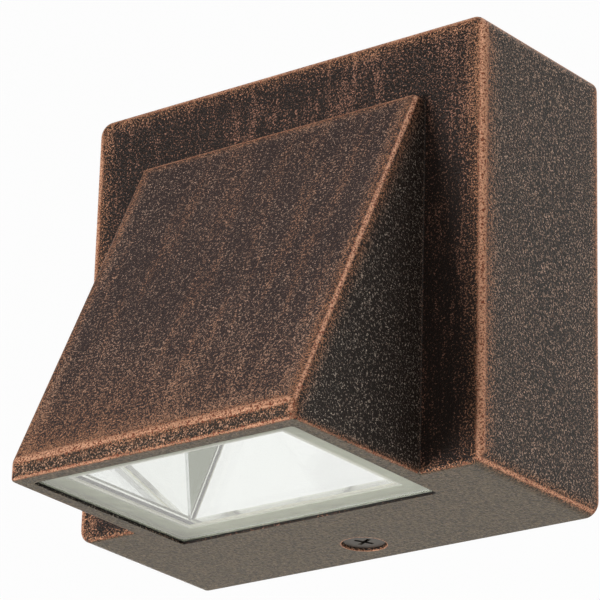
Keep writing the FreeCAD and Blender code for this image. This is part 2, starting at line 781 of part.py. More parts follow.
def terminal_block():
    """Three-pole screw terminal on the cover, with the supply's entries below."""
    block_body = block(-terminal_half_width, terminal_half_width, cover_back, terminal_back,
                       terminal_low_z, terminal_high_z)
    for x in lead_x:
        block_body = block_body.cut(rod(x, lead_y, terminal_low_z, terminal_entry_radius,
                                        terminal_entry_depth, Z_AXIS))
    for x, z in terminal_screw_places():
        block_body = block_body.cut(rod(x, terminal_back, z, terminal_well_radius,
                                        -terminal_well_depth, Y_AXIS))
    for x in terminal_fixing_x():
        block_body = block_body.cut(rod(x, cover_back, terminal_mid_z(),
                                        small_shank_radius + thread_gap, terminal_depth, Y_AXIS))
    return block_body


def terminal_screws():
    """Slotted clamping screws at the bottom of their wells."""
    screws = []
    floor = terminal_back - terminal_well_depth
    for x, z in terminal_screw_places():
        screw = rod(x, floor, z, terminal_screw_radius, terminal_screw_height, Y_AXIS)
        slot = block(x - terminal_screw_radius, x + terminal_screw_radius,
                     floor + terminal_screw_height * (1 - drive_depth_share),
                     floor + terminal_screw_height,
                     z - terminal_screw_slot / 2, z + terminal_screw_slot / 2)
        screws.append(screw.cut(slot))
    return Part.makeCompound(screws)


def terminal_fixing_screws():
    """Two screws through the block into the cover."""
    reach = terminal_depth + cover_thickness
    return Part.makeCompound([
        pan_screw(x, terminal_back, terminal_mid_z(), Y_AXIS * -1, small_shank_radius, reach,
                  small_head_radius, small_head_height)
        for x in terminal_fixing_x()])


def supply_lead(index, name):
    """From the terminal's top, over through the grommet and down into the driver."""
    x = lead_x[index]
    return bent_wire([(x, lead_y, terminal_high_z), (x, lead_y, lead_top_z),
                      (x, lead_driver_y, lead_top_z), (x, lead_driver_y, driver_high_z)],
                     lead_radius, name)


def earth_lead():
    """From the terminal's last pole sideways to the earth screw in the cover."""
    x = lead_x[-1]
    stop = cover_earth_x - earth_head_radius - wire_gap
    return bent_wire([(x, earth_lead_y, terminal_high_z), (x, earth_lead_y, lead_top_z),
                      (stop, earth_lead_y, lead_top_z)], lead_radius, "lead_earth")


def cover_earth_screw():
    """Tall-headed earth screw in the cover."""
    head = earth_lead_cover_gap + lead_radius
    body = rod(cover_earth_x, cover_back, lead_top_z, earth_head_radius, head, Y_AXIS)
    slot = block(cover_earth_x - earth_head_radius, cover_earth_x + earth_head_radius,
                 cover_back + head * (1 - drive_depth_share), cover_back + head,
                 lead_top_z - earth_head_slot / 2, lead_top_z + earth_head_slot / 2)
    shank = rod(cover_earth_x, cover_back, lead_top_z, earth_shank_radius, -cover_thickness, Y_AXIS)
    return body.cut(slot).fuse(shank)


# ---- driver
def driver_case():
    """Moulded case, open towards the cover, on two ears."""
    half = driver_half_length
    open_back = driver_back - driver_wall
    case = block(-half, half, driver_front, open_back, driver_low_z, driver_high_z)
    case = case.cut(block(-half + driver_wall, half - driver_wall, driver_front + driver_wall,
                          open_back, driver_low_z + driver_wall, driver_high_z - driver_wall))
    for side in (-1, 1):
        inner = side * half
        outer = side * (half + driver_ear_reach)
        ear = block(min(inner, outer), max(inner, outer), driver_ear_low,
                    driver_ear_low + driver_ear_thickness,
                    driver_centre_z - driver_ear_height / 2,
                    driver_centre_z + driver_ear_height / 2)
        ear = ear.cut(rod(side * driver_screw_x, driver_ear_low, driver_centre_z,
                          small_shank_radius + thread_gap, driver_ear_thickness, Y_AXIS))
        case = case.fuse(ear)
        for row in (-1, 1):
            case = case.fuse(driver_pillar(side, row))
    return case.removeSplitter()


def driver_pillar(side, row):
    """A stand in a corner of the case for the driver's board."""
    size = driver_board_stand
    x = side * (driver_half_length - driver_wall)
    z = driver_centre_z + row * (driver_height / 2 - driver_wall)
    return block(min(x, x - side * size), max(x, x - side * size),
                 driver_front + driver_wall, driver_board_front,
                 min(z, z - row * size), max(z, z - row * size))


def driver_lid():
    """Flat lid that closes the case."""
    return block(-driver_half_length, driver_half_length, driver_back - driver_wall, driver_back,
                 driver_low_z, driver_high_z)


def driver_board():
    """Circuit board on the case's stands."""
    rise = driver_height / 2 - driver_wall - driver_board_gap
    return block(-driver_board_half_length, driver_board_half_length,
                 driver_board_front, driver_board_back,
                 driver_centre_z - rise, driver_centre_z + rise)


def driver_transformer():
    """Ferrite core round a wound bobbin."""
    half = transformer_size / 2
    core = block(transformer_x - half, transformer_x + half, driver_board_back,
                 driver_board_back + driver_part_height,
                 driver_centre_z - half, driver_centre_z + half)
    leg = transformer_leg
    window = block(transformer_x - half + leg, transformer_x + half - leg,
                   driver_board_back + leg, driver_board_back + driver_part_height,
                   driver_centre_z - half + leg, driver_centre_z + half - leg)
    bobbin = rod(transformer_x, driver_board_back + leg, driver_centre_z,
                 half - leg - bobbin_gap, driver_part_height - leg, Y_AXIS)
    return core.cut(window).fuse(bobbin).removeSplitter()


def driver_capacitors():
    """Two electrolytic capacitors lying on the board."""
    cans = []
    start = capacitor_end_margin - driver_board_half_length
    for side in (-1, 1):
        can = rod(start, driver_board_back + capacitor_radius,
                  driver_centre_z + side * (capacitor_radius + capacitor_spacing / 2),
                  capacitor_radius, capacitor_length, X_AXIS)
        rim = [e for e in can.Edges if e.Closed]
        cans.append(can.makeFillet(capacitor_rim_radius, rim))
    return Part.makeCompound(cans)


def driver_rectifier():
    """Flat bridge rectifier on the board."""
    half = rectifier_size / 2
    end = driver_board_half_length - rectifier_end_margin
    return block(end - rectifier_size, end, driver_board_back,
                 driver_board_back + rectifier_height, driver_centre_z - half, driver_centre_z + half)


def driver_screws():
    """Two screws through the driver's ears into their bosses."""
    reach = driver_ear_thickness + driver_boss_height
    return Part.makeCompound([
        pan_screw(side * driver_screw_x, driver_ear_low + driver_ear_thickness, driver_centre_z,
                  Y_AXIS * -1, small_shank_radius, reach, small_head_radius, small_head_height)
        for side in (-1, 1)])


def led_wire(side, name):
    """From the driver's underside, forward over the heat sink and down into the LED board."""
    x = side * led_wire_spacing / 2
    return bent_wire([(x, led_wire_driver_y, driver_low_z),
                      (x, led_wire_driver_y, led_wire_level_z),
                      (x, led_wire_board_y, led_wire_level_z), (x, led_wire_board_y, led_low_z)],
                     led_wire_radius, name)


# ---- mounting plate and lock
def mounting_plate():
    """Folded steel plate: wall slots, cable hole, a carrying flange and a locking flange."""
    body = panel(-plate_half_width, plate_half_width, flange_low_z, plate_high_z,
                 plate_corner_radius, -plate_thickness, 0)
    wide = flange_width / 2
    upper = block(-wide, wide, flange_front, -plate_thickness,
                  plate_high_z - plate_thickness, plate_high_z)
    lower = block(-wide, wide, flange_front, -plate_thickness, flange_low_z, flange_high_z)
    slot = lock_shank_radius + lock_slot_gap
    lower = lower.cut(rod(0, lock_y, flange_low_z, slot, plate_thickness, Z_AXIS))
    lower = lower.cut(block(-slot, slot, flange_front, lock_y, flange_low_z, flange_high_z))
    body = body.fuse([upper, lower])
    for side in (-1, 1):
        inner = side * nut_guide_gap
        outer = side * (nut_guide_gap + nut_guide_thickness)
        guide = block(min(inner, outer), max(inner, outer), flange_front, -plate_thickness,
                      flange_high_z, flange_high_z + nut_guide_height)
        body = body.fuse(guide)
        reach = slot_length / 2 - slot_radius
        middle = side * slot_spacing / 2
        body = body.cut(long_hole(middle - reach, middle + reach, 0, slot_radius,
                                  -plate_thickness, 0))
    body = body.fuse(rod(earth_point_x, -plate_thickness, earth_point_z, earth_boss_radius,
                         -earth_boss_height, Y_AXIS))
    body = body.cut(rod(earth_point_x, 0, earth_point_z, earth_shank_radius + thread_gap,
                        -plate_thickness - earth_boss_height, Y_AXIS))
    body = body.cut(rod(0, 0, 0, cable_hole_radius, -plate_thickness, Y_AXIS))
    return body.removeSplitter()


def earth_washer():
    """Washer under the plate's earth screw."""
    seat = -plate_thickness - earth_boss_height
    disc = rod(earth_point_x, seat, earth_point_z, washer_radius, -washer_thickness, Y_AXIS)
    return disc.cut(rod(earth_point_x, seat, earth_point_z, earth_shank_radius + pass_gap,
                        -washer_thickness, Y_AXIS))


def earth_screw():
    """Pan head screw in the plate's tapped boss."""
    seat = -plate_thickness - earth_boss_height - washer_thickness
    reach = earth_boss_height + washer_thickness + plate_thickness
    return pan_screw(earth_point_x, seat, earth_point_z, Y_AXIS, earth_shank_radius, reach,
                     earth_head_radius, earth_head_height)


def lock_screw():
    """Countersunk screw with a cross recess, head down."""
    rim = rod(0, lock_y, lock_face_z, lock_head_radius, lock_head_rim, Z_AXIS)
    cone = Part.makeCone(lock_head_radius, lock_shank_radius,
                         lock_head_radius - lock_shank_radius,
                         FreeCAD.Vector(0, lock_y, lock_cone_z), Z_AXIS)
    shank = rod(0, lock_y, lock_cone_z, lock_shank_radius, lock_length - lock_head_rim, Z_AXIS)
    tip = [e for e in shank.Edges
           if e.Closed and abs(e.CenterOfMass.z - (lock_face_z + lock_length)) < same_place]
    shank = shank.makeChamfer(lock_tip_chamfer, tip)
    return rim.fuse([cone, shank]).cut(cross_recess()).removeSplitter()


def cross_recess():
    """Two crossing slots that narrow towards their bottom."""
    half = cross_width / 2
    bars = block(-cross_reach, cross_reach, -half, half, 0, cross_depth)
    bars = bars.fuse(block(-half, half, -cross_reach, cross_reach, 0, cross_depth))
    taper = Part.makeCone(cross_reach, cross_tip, cross_depth)
    recess = bars.common(taper)
    recess.rotate(FreeCAD.Vector(0, 0, 0), Z_AXIS, cross_turn)
    recess.translate(FreeCAD.Vector(0, lock_y, lock_face_z))
    return recess


def lock_nut():
    """Square nut on the lower flange, between its guides."""
    half = nut_size / 2
    nut = block(-half, half, lock_y - half, lock_y + half, flange_high_z, flange_high_z + nut_height)
    return nut.cut(rod(0, lock_y, flange_high_z, lock_shank_radius + lock_running_gap,
                       nut_height, Z_AXIS))


def screw_seal_ring():
    """Rubber ring that seals the lock screw and keeps it from falling out."""
    centre_radius = lock_shank_radius + lock_running_gap + seal_ring_section
    return Part.makeTorus(centre_radius, seal_ring_section,
                          FreeCAD.Vector(0, lock_y, lock_pad_z - seal_ring_section), Z_AXIS)


def pieces():
    """Every piece by its name."""
    return {
        "housing": housing(),
        "window_glass": window_glass(),
        "glass_gasket": glass_gasket(),
        "reflector": reflector(),
        "led_board": led_board(),
        "led_emitters": led_emitters(),
        "led_board_screws": led_board_screws(),
        "thermal_pad": thermal_pad(),
        "heat_sink_plate": heat_sink_plate(),
        "heat_sink_screws": heat_sink_screws(),
        "back_cover": back_cover(),
        "back_cover_gasket": back_cover_gasket(),
        "back_cover_screws": back_cover_screws(),
        "wall_gasket": wall_gasket(),
        "wire_grommet": wire_grommet(),
        "terminal_block": terminal_block(),
        "terminal_screws": terminal_screws(),
        "terminal_fixing_screws": terminal_fixing_screws(),
        "lead_live": supply_lead(0, "lead_live"),
        "lead_neutral": supply_lead(1, "lead_neutral"),
        "lead_earth": earth_lead(),
        "cover_earth_screw": cover_earth_screw(),
        "driver_case": driver_case(),
        "driver_lid": driver_lid(),
        "driver_board": driver_board(),
        "driver_transformer": driver_transformer(),
        "driver_capacitors": driver_capacitors(),
        "driver_rectifier": driver_rectifier(),
        "driver_screws": driver_screws(),
        "led_wire_red": led_wire(1, "led_wire_red"),
        "led_wire_black": led_wire(-1, "led_wire_black"),
        "mounting_plate": mounting_plate(),
        "earth_washer": earth_washer(),
        "earth_screw": earth_screw(),
        "lock_screw": lock_screw(),
        "lock_nut": lock_nut(),
        "screw_seal_ring": screw_seal_ring(),
    }


def main():
    """Write one file for each piece."""
    os.makedirs("parts", exist_ok=True)
    for name, shape in pieces().items():
        shape.exportStep("parts/" + name + ".step")
        box = shape.BoundBox
        print(name, "solids", len(shape.Solids), "valid", shape.isValid(),
              "volume", round(shape.Volume, 1),
              "x %.2f %.2f y %.2f %.2f z %.2f %.2f" % (box.XMin, box.XMax, box.YMin, box.YMax,
                                                       box.ZMin, box.ZMax))


main()
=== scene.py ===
# %% [markdown]
# # Wall pack light
# A small wall light: a square cast box, a wedge hood in front of it, and a glass window in the
# underside. Its coat is antique copper: a dark brown powder coat with fine copper speckles,
# rubbed through to plain copper along the edges. The solids come from the frame. This script
# gives them their finishes, adds small pieces that the solids leave plain, and lights them.

# %% Load the frame
import math

import bpy
import numpy as np
from mathutils import Matrix, Vector


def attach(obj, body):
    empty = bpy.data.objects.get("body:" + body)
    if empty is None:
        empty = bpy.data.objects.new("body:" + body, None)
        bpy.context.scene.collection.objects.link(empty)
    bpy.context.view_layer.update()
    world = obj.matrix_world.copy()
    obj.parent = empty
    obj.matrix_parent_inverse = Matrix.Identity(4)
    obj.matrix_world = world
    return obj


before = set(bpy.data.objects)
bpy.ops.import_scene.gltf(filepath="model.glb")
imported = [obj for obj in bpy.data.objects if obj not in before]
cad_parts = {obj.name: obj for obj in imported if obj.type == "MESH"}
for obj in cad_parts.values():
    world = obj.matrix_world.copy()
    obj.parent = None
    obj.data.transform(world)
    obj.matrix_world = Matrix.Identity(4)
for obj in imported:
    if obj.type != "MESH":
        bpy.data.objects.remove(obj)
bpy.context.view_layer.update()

# %% Measure a solid
MM = 0.001


def span(node_name):
    """The lowest and highest coordinates of a solid's own mesh, in millimetres."""
    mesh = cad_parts[node_name].data
    points = np.empty(len(mesh.vertices) * 3, dtype=np.float32)
    mesh.vertices.foreach_get("co", points)
    points = points.reshape(-1, 3).astype(float) / MM
    return points.min(axis=0), points.max(axis=0)


casting_low, casting_high = (corner.round(2).tolist() for corner in span("housing"))
print("the casting goes from", casting_low, "to", casting_high, "mm")

# %% [markdown]
# ## Camera
# The camera was fitted to 25 corners of the object: a long lens, a little below the light and to
# its right. It is rolled by a degree and a half, so its matrix is built from three directions:
# away from the object, to the right, and up.

# %% Camera
scene = bpy.context.scene
target = Vector((0.00547, -0.0400, -0.00527))
azimuth, elevation, roll = (math.radians(a) for a in (37.37, -21.23, 1.64))
distance = 0.7003
away = Vector((math.sin(azimuth) * math.cos(elevation),
               -math.cos(azimuth) * math.cos(elevation), math.sin(elevation)))
level_right = (-away).cross(Vector((0, 0, 1))).normalized()
level_up = level_right.cross(-away)
right = math.cos(roll) * level_right + math.sin(roll) * level_up
up = math.cos(roll) * level_up - math.sin(roll) * level_right

lens = bpy.data.cameras.new("camera")
lens.sensor_width = 36.0
lens.lens = 211.29
lens.clip_start = 0.01
camera = bpy.data.objects.new("camera", lens)
camera.matrix_world = (Matrix.Translation(target + away * distance)
                       @ Matrix((right, up, away)).transposed().to_4x4())
scene.collection.objects.link(camera)
scene.camera = camera
scene.view_settings.view_transform = "Standard"
print("camera at", tuple(round(c, 3) for c in camera.location))

# %% [markdown]
# ## Shader maths in Python
# A finish is a small calculation done at every point of a surface. `Term` wraps one number of
# that calculation, so that `a * 2 + b` adds its Math nodes. `Finish` holds a material and adds
# every other node by one method: settings first, then the values or links of its sockets.

# %% Terms and finishes
class Term:
    """A number that changes over a surface; arithmetic on it adds Math nodes."""

    def __init__(self, finish, socket):
        self.finish, self.socket = finish, socket

    def math(self, operation, other=None):
        values = {0: self} if other is None else {0: self, 1: other}
        node = self.finish.node("ShaderNodeMath", {"operation": operation}, values)
        return Term(self.finish, node.outputs[0])

    def __add__(self, other):
        return self.math("ADD", other)

    def __sub__(self, other):
        return self.math("SUBTRACT", other)

    def __mul__(self, other):
        return self.math("MULTIPLY", other)

    def __rsub__(self, other):
        return self * -1 + other

    def __abs__(self):
        return self.math("ABSOLUTE")

    __radd__, __rmul__ = __add__, __mul__


class Finish:
    """A material whose nodes are added one by one."""

    def __init__(self, name):
        self.material = bpy.data.materials.new(name)
        self.material.use_nodes = True
        self.tree = self.material.node_tree
        self.tree.nodes.clear()
        self.place = self.node("ShaderNodeTexCoord").outputs["Object"]

    def node(self, kind, settings=None, sockets=None):
        node = self.tree.nodes.new(kind)
        for name, value in (settings or {}).items():
            setattr(node, name, value)
        for name, value in (sockets or {}).items():
            if isinstance(value, Term):
                value = value.socket
            if isinstance(value, bpy.types.NodeSocket):
                self.tree.links.new(value, node.inputs[name])
            else:
                node.inputs[name].default_value = value
        return node

    def axes(self):
        """The three coordinates of a point, in millimetres."""
        split = self.node("ShaderNodeSeparateXYZ", None, {0: self.place})
        return [Term(self, split.outputs[i]) * 1000 for i in range(3)]

    def noise(self, size, detail=2.0, roughness=0.5, stretch=(1, 1, 1), shift=0.0):
        """Soft random values from 0 to 1 whose blobs are about size millimetres wide."""
        place = self.node("ShaderNodeMapping", None, {
            "Vector": self.place, "Scale": [1000 / size / s for s in stretch],
            "Location": (shift, shift, shift)})
        node = self.node("ShaderNodeTexNoise", None, {
            "Vector": place.outputs[0], "Scale": 1.0, "Detail": detail, "Roughness": roughness})
        return Term(self, node.outputs[0])

    def ramp(self, term, low, high, out_low=0.0, out_high=1.0):
        """Goes smoothly from out_low to out_high while the term goes from low to high."""
        node = self.node("ShaderNodeMapRange", {"interpolation_type": "SMOOTHSTEP"}, {
            "Value": term, "From Min": low, "From Max": high,
            "To Min": out_low, "To Max": out_high})
        return Term(self, node.outputs[0])

    def mix(self, factor, first, second):
        """A colour between two colours."""
        node = self.node("ShaderNodeMix", {"data_type": "RGBA"}, {"Factor": factor})
        for socket, value in ((node.inputs[6], first), (node.inputs[7], second)):
            if isinstance(value, bpy.types.NodeSocket):
                self.tree.links.new(value, socket)
            else:
                socket.default_value = value
        return node.outputs[2]

    def blend(self, factor, first, second):
        """A shader between two shaders."""
        node = self.node("ShaderNodeMixShader", None, {"Fac": factor, 1: first, 2: second})
        return node.outputs[0]

    def past(self, term, place, soft):
        """Goes smoothly from 0 to 1 as the term passes a place, within soft millimetres of it."""
        return self.ramp(term, place - soft, place + soft)

    def bump(self, height, depth):
        """Relief of depth millimetres where the height goes from 0 to 1."""
        return self.node("ShaderNodeBump", None, {
            "Height": height, "Strength": 1.0, "Distance": depth / 1000}).outputs[0]

    def close(self, **sockets):
        """Ends the material in a Principled BSDF with these socket values."""
        values = {name.replace("_", " "): value for name, value in sockets.items()}
        shader = self.node("ShaderNodeBsdfPrincipled", None, values)
        self.output(shader.outputs[0])
        return self.material

    def output(self, shader):
        """Makes this shader the one that is seen."""
        self.node("ShaderNodeOutputMaterial", None, {"Surface": shader})


def srgb(red, green, blue):
    """A colour as it shows on screen, 0 to 255, turned into the linear light that shaders use."""
    values = np.array([red, green, blue]) / 255
    linear = np.where(values <= 0.04045, values / 12.92, ((values + 0.055) / 1.055) ** 2.4)
    return (*linear.tolist(), 1.0)


def least(*terms):
    """The smallest of some terms."""
    result = terms[0]
    for term in terms[1:]:
        result = result.math("MINIMUM", term)
    return result


def most(first, second):
    """The larger of two terms."""
    return first.math("MAXIMUM", second)


def dress(node_name, material):
    """Puts a finish on every material slot of a solid."""
    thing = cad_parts[node_name]
    for slot in thing.material_slots:
        slot.material = material
    print(node_name, "now has", material.name)

# %% [markdown]
# ## Studio
# The object hangs in front of white paper, in a white room. The room could be one even light, but
# the real light was lit unevenly: the faces that look back at the paper have a pale veil, and the
# others stay dark. So the room has one strength for each kind of ray: plain white where the
# camera sees it, dim where it lights matt surfaces, and dimmer still in gloss.

# %% World
WHITE = (1, 1, 1, 1)


def any_ray(finish, *tests):
    """One for rays of any of the given kinds."""
    rays = finish.node("ShaderNodeLightPath")
    result = Term(finish, rays.outputs[tests[0]])
    for test in tests[1:]:
        result = most(result, Term(finish, rays.outputs[test]))
    return result


class Room(Finish):
    """The world, with the same way of adding nodes."""

    def __init__(self, name):
        self.material = bpy.data.worlds.new(name)
        self.material.use_nodes = True
        self.tree = self.material.node_tree
        self.tree.nodes.clear()

    def white(self, strength):
        """White light of some strength."""
        node = self.node("ShaderNodeBackground", None, {"Color": WHITE, "Strength": strength})
        return node.outputs[0]

    def output(self, shader):
        self.node("ShaderNodeOutputWorld", None, {"Surface": shader})


room = Room("white room")
dim_room = 0.30
mirrored_room = 0.24
paper_white = 0.985
seen = any_ray(room, "Is Camera Ray", "Is Transmission Ray")
unseen = room.blend(any_ray(room, "Is Glossy Ray"), room.white(dim_room), room.white(mirrored_room))
room.output(room.blend(seen, unseen, room.white(paper_white)))
scene.world = room.material
print("world: white to the camera,", dim_room, "to matt surfaces,", mirrored_room, "to gloss")

# %% [markdown]
# ## Paper sweep
# The paper could be a flat floor, but its far end would show as a line, so it curves up into a
# wall. It glows white to the camera and in reflections, a little warm in the coat's gloss, and is
# matt to all other light. One round patch of it is grey in reflections, as a stand on the paper
# would be, because the window of the real light mirrors something dark there. The sheet is clear
# from its underside, so that the light can be looked at from below as well.

# %% Mesh maker
def add_mesh(name, points, faces):
    """An object with a mesh of these points, an array, and these faces, a list."""
    mesh = bpy.data.meshes.new(name)
    mesh.from_pydata(points.reshape(-1, 3).tolist(), [], faces)
    thing = bpy.data.objects.new(name, mesh)
    scene.collection.objects.link(thing)
    return thing


def grid_mesh(name, points):
    """A surface over a grid of points, given as an array of rows, columns and coordinates: each
    quad joins two neighbours of one row to the same two of the next."""
    rows, columns = points.shape[:2]
    corner = np.arange((rows - 1) * columns).reshape(rows - 1, columns)[:, :-1]
    quads = np.stack([corner, corner + 1, corner + columns + 1, corner + columns], axis=-1)
    return add_mesh(name, points, quads.reshape(-1, 4).tolist())


# %% Paper's shape
floor_z, wall_y, bend, reach, wall_top = -0.6, 1.6, 0.5, 5.0, 3.0
turn = np.linspace(0, np.pi / 2, 17)
sweep_y = np.concatenate([[-reach], wall_y - bend + bend * np.sin(turn), [wall_y]])
sweep_z = np.concatenate([[floor_z], floor_z + bend - bend * np.cos(turn), [wall_top]])
sweep_x = np.array([[reach], [-reach]])
sweep = grid_mesh("paper_sweep", np.stack(np.broadcast_arrays(sweep_x, sweep_y, sweep_z), axis=-1))
sweep.data.polygons.foreach_set("use_smooth", [True] * len(sweep.data.polygons))
print("paper sweep from y", -reach, "to", wall_y, "m, with", len(sweep.data.polygons), "faces")

# %% Paper's finish
paper = Finish("white paper")
floor_x, floor_y, _ = paper.axes()
patch_x, patch_y = 60, -550
patch_core, patch_rim = 100.0, 150.0
from_patch = ((floor_x - patch_x) * (floor_x - patch_x)
              + (floor_y - patch_y) * (floor_y - patch_y)).math("SQRT")
mirrored = any_ray(paper, "Is Glossy Ray")
patch = paper.ramp(from_patch, patch_core, patch_rim, 1.0, 0.0) * mirrored
in_gloss = mirrored * (1 - any_ray(paper, "Is Transmission Ray"))
warm_white = (1, 0.97, 0.92, 1)
tint = paper.mix(in_gloss, WHITE, warm_white)
glow = paper.node("ShaderNodeEmission", None, {
    "Color": paper.mix(patch, tint, srgb(112, 119, 98)), "Strength": 1.0}).outputs[0]
matt = paper.node("ShaderNodeBsdfDiffuse", None, {"Color": srgb(236, 236, 234)}).outputs[0]
glow_share = 0.97
looked_at = any_ray(paper, "Is Camera Ray", "Is Glossy Ray", "Is Transmission Ray")
sheet_top = paper.blend(looked_at * glow_share, matt, glow)
clear = paper.node("ShaderNodeBsdfTransparent").outputs[0]
under_sheet = paper.node("ShaderNodeNewGeometry").outputs["Backfacing"]
paper.output(paper.blend(under_sheet, sheet_top, clear))
sweep.data.materials.append(paper.material)
print("paper: grey patch at", (patch_x, patch_y), "mm, only in reflections")

# %% [markdown]
# ## Lamps
# Three square lamps: one in front at the lower left, one above and one behind at the left. Small
# lamps would draw hard shadows on the paper, so these are 0.6 m wide.

# %% Lamps
def soft_box(name, place, size, watts):
    """A square lamp that faces the light's middle."""
    data = bpy.data.lights.new(name, "AREA")
    data.size = size
    data.energy = watts
    lamp = bpy.data.objects.new(name, data)
    lamp.location = place
    toward = Vector((0, -0.03, 0)) - Vector(place)
    lamp.rotation_euler = toward.to_track_quat("-Z", "Y").to_euler()
    scene.collection.objects.link(lamp)
    print(name, "at", place, "with", watts, "W")


soft_box("key_lamp", (-0.72, -1.35, -0.35), 0.6, 13.0)
soft_box("top_lamp", (0.3, 0.2, 1.3), 0.6, 6.0)
soft_box("back_lamp", (-0.8, 1.1, 0.3), 0.6, 6.0)

# %% [markdown]
# ## Antique copper coat
# On the real light a copper-coloured base coat is sprayed with a dark brown textured powder,
# which is then rubbed: the texture's high points show through as fine speckles, and the edges
# lose the dark coat altogether. Hand-painted textures would slide when the part is reused, so the
# coat is worked out from the point's place on the casting: how far it is from each flat face, in
# millimetres. Where two of these distances are small together, there is an edge.

# %% Distances to the casting's faces
coat = Finish("antique copper coat")
x, y, z = coat.axes()
side = abs(x)
depth = y * -1
half_width, _, half_height = casting_high
box_depth, box_taper = 40, 0.65
hood_depth = -casting_low[1] - box_depth
hood_half_width, hood_taper = 35.2, 0.7
slope_top_y, slope_top_z = -42.5, 31.6
lean_cosine, lean_sine = 0.8997, 0.4366

box_side = half_width - depth * (box_taper / box_depth) - side
box_top = half_height - depth * (box_taper / box_depth) - z
bottom = z + half_height
box_front = y + box_depth
hood_side = hood_half_width - (depth - box_depth) * (hood_taper / hood_depth) - side
hood_slope = (y - slope_top_y) * lean_cosine - (z - slope_top_z) * lean_sine
hood_lip = y + (box_depth + hood_depth)
hood_top = slope_top_z - z
print("coat: the box is", box_depth, "mm deep and the hood adds", round(hood_depth, 1), "mm")

# %% [markdown]
# Each edge has its own width of bare copper, as on the real one: widest on the box's upright
# front edge and on the hood's ridges, thin along the bottom. At a sharp edge the distance is the
# sum of the distances to its two faces, divided by the edge's width. At a rounded one, on the
# box's corners and the hood's ridges, both distances are large together in the middle of the
# curve, so there it is their difference. The nearest edge counts.

# %% Worn edges
far = 30.0
corner_depth = 0.9
corner_fade = 4
corner_narrowing = 1.5


def edges_of(pairs):
    """The least distance to some edges, each given by its two faces' distances and its width."""
    return least(*[(abs(first) + abs(second)) * (1 / width) for first, second, width in pairs])


def round_edge(first, second):
    """The distance from the middle of a rounded corner: the difference of the distances to its
    two faces, and a fast rise where both faces are farther away than the corner is deep."""
    deeper = (least(first, second) - corner_depth) * corner_fade
    return most(abs(first - second), deeper) * corner_narrowing


on_hood = coat.ramp(y, -box_depth - 0.4, -box_depth - 0.1, 0.0, far)
on_box = coat.ramp(y, -box_depth - 0.35, -box_depth - 0.1, far, 0.0)
beside_hood = coat.ramp(side, hood_half_width - 0.6, hood_half_width + 0.2, far, 0.0)
low_edge = edges_of([(box_front, bottom, 0.5)]) + beside_hood
box_edges = least(low_edge, round_edge(box_side, bottom), round_edge(box_side, box_top), edges_of([
    (box_front, box_side, 1.3), (box_front, box_top, 0.9), (y, box_side, 0.5)])) + on_box
hood_edges = least(round_edge(hood_side, hood_slope), edges_of([
    (hood_slope, hood_lip, 0.4), (hood_side, hood_lip, 1.0),
    (hood_lip, bottom, 0.5), (hood_side, bottom, 0.4), (hood_top, hood_slope, 0.6)])) + on_hood
hole_from_wall, hole_radius, hole_rim_width = 9.2, 4.65, 0.18
from_hole = (x * x + (y + hole_from_wall) * (y + hole_from_wall)).math("SQRT")
hole_rim = (abs(from_hole - hole_radius) + bottom) * (1 / hole_rim_width)
edge = least(box_edges, hood_edges, hole_rim)
print("coat: edges of the box and of the hood, and the rim of the screw's hole")

# %% [markdown]
# The speckles could be dots, but the real ones are short worms: the lines along which one noise
# passes through its middle value, cut up by a second noise. The other noises are the grain of the
# powder, its orange peel, large soft patches, streaks down the box's front, and the cloth's
# strokes down the slope.

# %% Noises
line_size = 0.42
lines = coat.noise(line_size, detail=1.5, roughness=0.55)
gaps = coat.noise(0.45, detail=1.0, shift=7.0)
grain = coat.noise(0.36, detail=1.0, shift=2.0)
peel = coat.noise(0.45, detail=1.5, stretch=(1, 1.4, 1), shift=11.0)
patches = coat.noise(16.0, detail=2.0, shift=3.0)
streaks = coat.noise(1.5, detail=3.0, roughness=0.6, stretch=(1, 1, 9), shift=5.0)
brush = coat.noise(3.6, detail=3.0, roughness=0.6, stretch=(1, 9, 9), shift=13.0)
print("coat: 7 noises, with the worms along one of", line_size, "mm")

# %% [markdown]
# The cloth reached some faces better than others, so the coat has zones, each of them 1 on its
# own face and 0 elsewhere. The way a point faces tells most of them, and its distances to the
# faces tell the rest. What lies deeper than its outer skin, which is the inside of the casting
# and the window's recess, has no copper.

# %% Zones
facing = coat.node("ShaderNodeSeparateXYZ", None, {
    0: coat.node("ShaderNodeTexCoord").outputs["Normal"]})
to_right, to_back, to_top = (Term(coat, facing.outputs[i]) for i in range(3))
faces_front = coat.ramp(to_back * -1, 0.95, 0.999)
faces_down = coat.ramp(to_top * -1, 0.80, 0.97)
on_hood_face = coat.ramp(y, -box_depth - 1.0, -box_depth - 0.3, 1.0, 0.0)
on_slope = coat.ramp(to_top, 0.3, 0.43) * on_hood_face
on_lip = faces_front * on_hood_face
on_flank = (1 - on_slope) * (1 - faces_front) * on_hood_face
on_plate = faces_front * (1 - on_hood_face)
on_box_side = coat.ramp(abs(to_right), 0.8, 0.95) * (1 - on_hood_face)

window_half_width, window_half_depth, window_from_wall = 31.6, 23.6, 51.75
recess_foot, recess_top = 0.4, 6.6
in_window = ((1 - coat.past(side, window_half_width, 0.1))
             * (1 - coat.past(abs(y + window_from_wall), window_half_depth, 0.1))
             * coat.past(bottom, recess_foot, 0.1) * (1 - coat.past(bottom, recess_top, 0.1)))
outer = least(box_side, abs(box_top), bottom, abs(box_front), abs(hood_side), abs(hood_slope),
              hood_lip)
skin = 1.2
inside = most(in_window, coat.past(outer, skin, 0.1))
print("coat: zones for plate, box sides, slope, lip, flanks, underside, window recess and inside")

